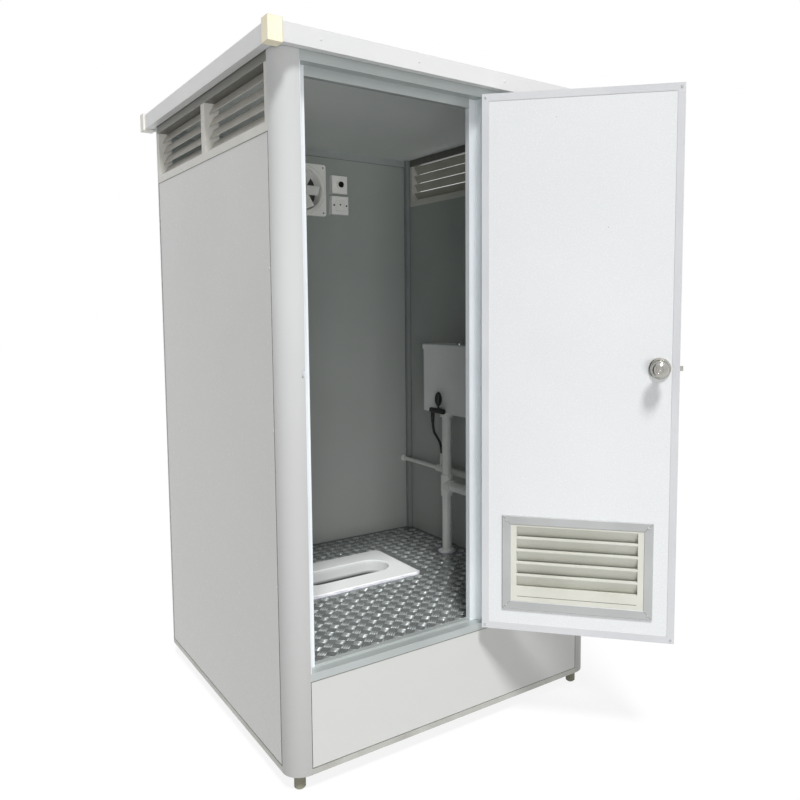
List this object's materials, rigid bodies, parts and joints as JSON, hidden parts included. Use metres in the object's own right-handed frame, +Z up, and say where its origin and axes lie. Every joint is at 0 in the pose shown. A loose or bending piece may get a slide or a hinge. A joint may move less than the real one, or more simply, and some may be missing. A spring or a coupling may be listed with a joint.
{
  "type": "portable toilet cabin",
  "caption": "Free-standing toilet cabin with rounded corner posts, a vented outward door, side louvres, a squat pan, a wall cistern and an exhaust fan.",
  "frame": {"origin": "on the ground at the middle of the cabin's footprint, without the open door", "axes": "+X right seen from the front, +Y to the back, +Z up; the door stands open at rest"},
  "size_m": [1.324, 1.8835, 2.28],
  "materials": {
    "foot_rubber": "matte",
    "frame_steel": "satin",
    "post_aluminium": "satin",
    "wall_panel": "gloss",
    "louvre_frame": "satin",
    "louvre_blade": "satin",
    "frame_aluminium": "satin",
    "roof_panel": "satin",
    "fascia": "satin",
    "corner_cap": "satin",
    "chequer_plate": "satin",
    "pan_ceramic": "gloss",
    "white_pipe": "satin",
    "cistern_plastic": "gloss",
    "button_chrome": "polished",
    "black_plastic": "satin",
    "hose_rubber": "satin",
    "fan_plastic": "satin",
    "motor_metal": "satin",
    "impeller_plastic": "satin",
    "box_plastic": "satin",
    "rocker_plastic": "gloss",
    "door_skin": "gloss",
    "door_edging": "satin",
    "vent_aluminium": "satin",
    "vent_blade": "satin",
    "hinge_steel": "brushed",
    "knob_steel": "brushed",
    "latch_steel": "satin"
  },
  "bodies": {
    "cabin": {"feet": "foot_rubber", "base_frame": "frame_steel", "corner_post_front_left": "post_aluminium", "corner_post_front_right": "post_aluminium", "corner_post_back_left": "post_aluminium", "corner_post_back_right": "post_aluminium", "left_panel": "wall_panel", "right_panel": "wall_panel", "back_panel": "wall_panel", "front_panel": "wall_panel", "plinth_panel": "wall_panel", "louvre_frame_left": "louvre_frame", "louvre_frame_right": "louvre_frame", "louvre_blades": "louvre_blade", "head_rail": "frame_aluminium", "back_rail": "frame_aluminium", "roof_panel": "roof_panel", "fascia_front": "fascia", "fascia_back": "fascia", "fascia_left": "fascia", "fascia_right": "fascia", "roof_corner_caps": "corner_cap", "door_jamb_left": "frame_aluminium", "door_jamb_right": "frame_aluminium", "door_sill": "frame_aluminium", "floor_plate": "chequer_plate", "squat_pan": "pan_ceramic", "drain_pipe": "white_pipe", "cistern_body": "cistern_plastic", "cistern_lid": "cistern_plastic", "flush_pipe_upper": "white_pipe", "flush_tee": "white_pipe", "flush_pipe_lower": "white_pipe", "floor_collar": "white_pipe", "branch_pipe": "white_pipe", "supply_pipe": "white_pipe", "supply_tee": "white_pipe", "inlet_valve_body": "black_plastic", "fill_hose": "hose_rubber", "fan_housing": "fan_plastic", "fan_motor": "motor_metal", "lamp_holder": "box_plastic", "switch_box": "box_plastic", "hinge_frame_leaves": "hinge_steel", "hinge_pins": "hinge_steel"},
    "door": {"door_leaf": "door_skin", "door_edging": "door_edging", "door_vent_frame": "vent_aluminium", "door_vent_louvre": "vent_blade", "hinge_door_leaves": "hinge_steel", "knob_roses": "knob_steel", "latch_plate": "hinge_steel", "door_rivets": "hinge_steel"},
    "knob": {"knob_inside": "knob_steel", "knob_outside": "knob_steel"},
    "latch": {"latch_bolt": "latch_steel"},
    "impeller": {"fan_impeller": "impeller_plastic"},
    "rocker": {"switch_rocker": "rocker_plastic"},
    "flush": {"flush_button": "button_chrome"},
    "valve": {"inlet_valve_handle": "black_plastic"}
  },
  "joints": [
    {"name": "door_swing", "type": "hinge", "parent": "cabin", "child": "door", "pos_m": [0.1005, -0.657, 1.25], "axis": [0, 0, 1], "range_deg": [-130.7, 35]},
    {"name": "knob_turn", "type": "hinge", "parent": "door", "child": "knob", "pos_m": [0.46455, -1.12012, 1.291], "axis": [0.7581, 0.6521, 0], "range_deg": [0, 55]},
    {"name": "latch_slide", "type": "slide", "parent": "door", "child": "latch", "axis": [0.6521, -0.7581, 0], "range_m": [-0.011, 0], "stiffness_N_per_m": 100},
    {"name": "fan_spin", "type": "hinge", "parent": "cabin", "child": "impeller", "pos_m": [0, 0.6, 2.031], "axis": [0, -1, 0], "continuous": true},
    {"name": "rocker_tip", "type": "hinge", "parent": "cabin", "child": "rocker", "pos_m": [0.186, 0.575, 1.969], "axis": [1, 0, 0], "range_deg": [-4, 4]},
    {"name": "flush_press", "type": "slide", "parent": "cabin", "child": "flush", "axis": [0, 0, 1], "range_m": [-0.008, 0], "stiffness_N_per_m": 400},
    {"name": "valve_turn", "type": "hinge", "parent": "cabin", "child": "valve", "pos_m": [0.417, 0.098, 1.039], "axis": [0, 0, 1], "range_deg": [0, 90]}
  ],
  "couplings": [
    {"joint": "knob_turn", "follows": "latch_slide", "rad_per_m": -87.26}
  ]
}
